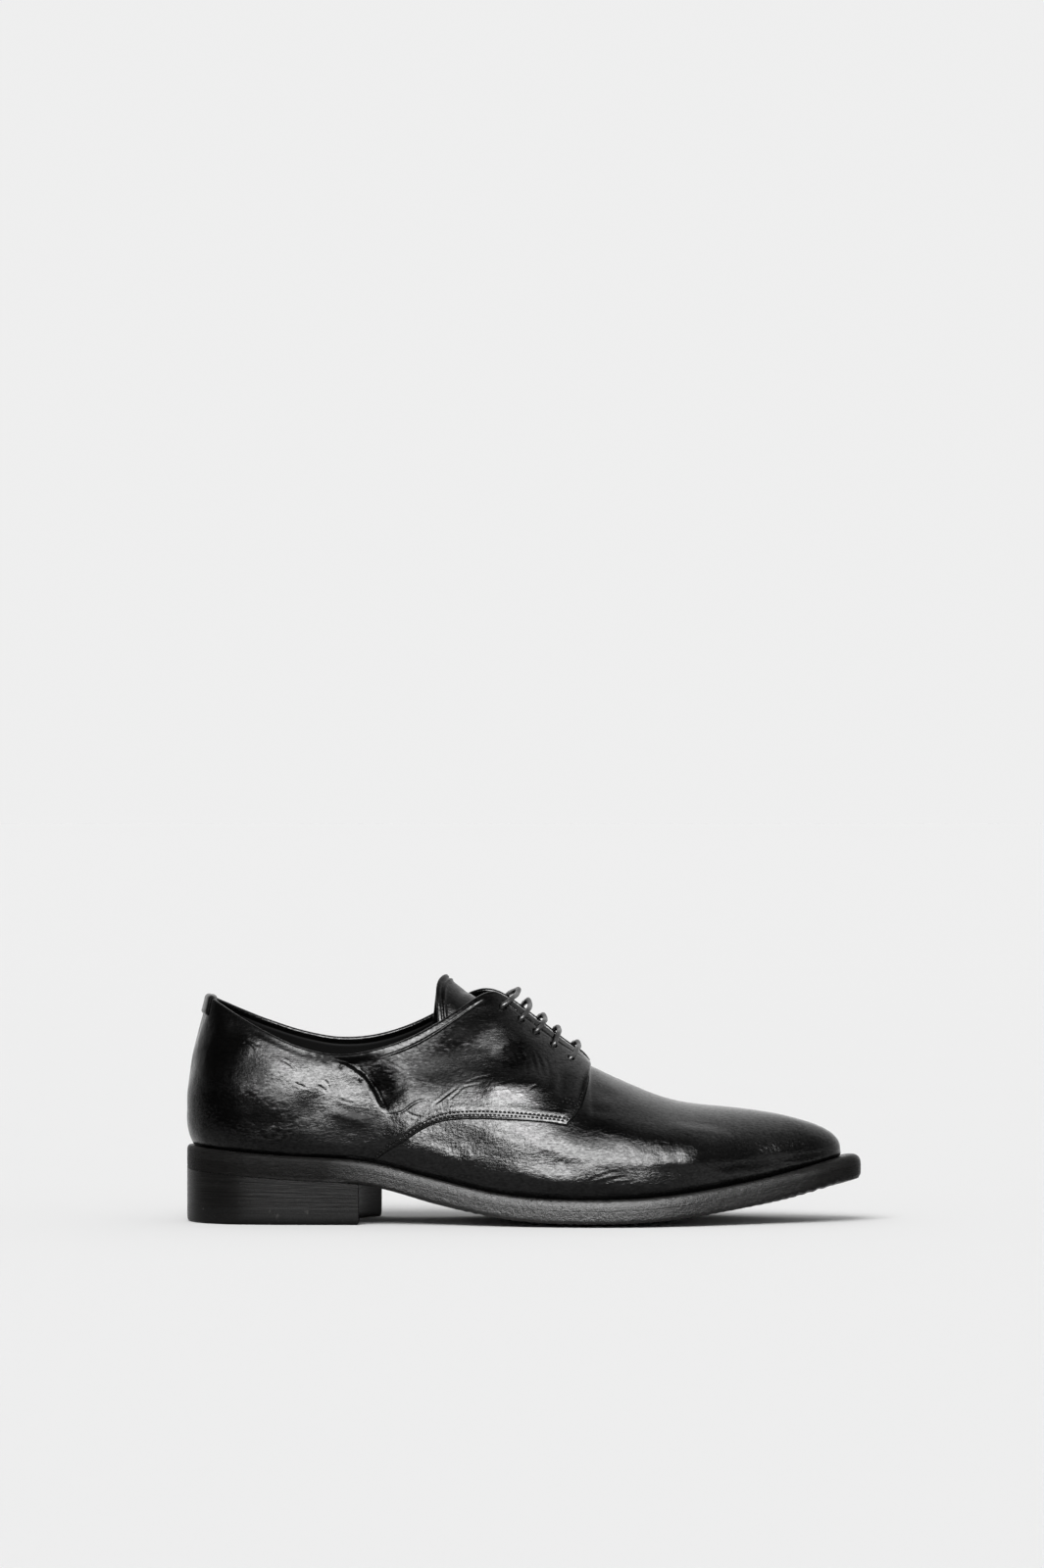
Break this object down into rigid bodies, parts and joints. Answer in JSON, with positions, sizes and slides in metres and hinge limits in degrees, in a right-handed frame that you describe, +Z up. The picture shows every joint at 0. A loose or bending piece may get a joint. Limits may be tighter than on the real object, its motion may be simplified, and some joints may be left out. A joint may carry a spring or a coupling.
{
  "type": "derby shoe",
  "caption": "Low laced dress shoe with a plain pointed vamp, open lacing over a tongue, a leather sole and a stacked heel; right foot.",
  "frame": {"origin": "centre of the heel's ground face", "axes": "+X to the toe along the length, +Y to the inner (medial) side, +Z up; the ground is z = 0"},
  "size_m": [0.304, 0.1033, 0.1109],
  "materials": {
    "upper_leather": "polished, finely brushed",
    "lining_leather": "matte",
    "sole_leather": "inked edge, waxed",
    "heel_leather": "inked edge, waxed",
    "lift_rubber": "satin",
    "lace_cord": "waxed"
  },
  "bodies": {
    "root": {"upper": "upper_leather", "tongue": "upper_leather", "insole": "lining_leather", "midsole_welt": "sole_leather", "outsole": "sole_leather", "heel_stack": "heel_leather", "heel_top_lift": "lift_rubber", "lace_bar_1": "lace_cord", "lace_bar_2": "lace_cord", "lace_bar_3": "lace_cord", "lace_bar_4": "lace_cord", "lace_bar_5": "lace_cord"}
  },
  "joints": []
}
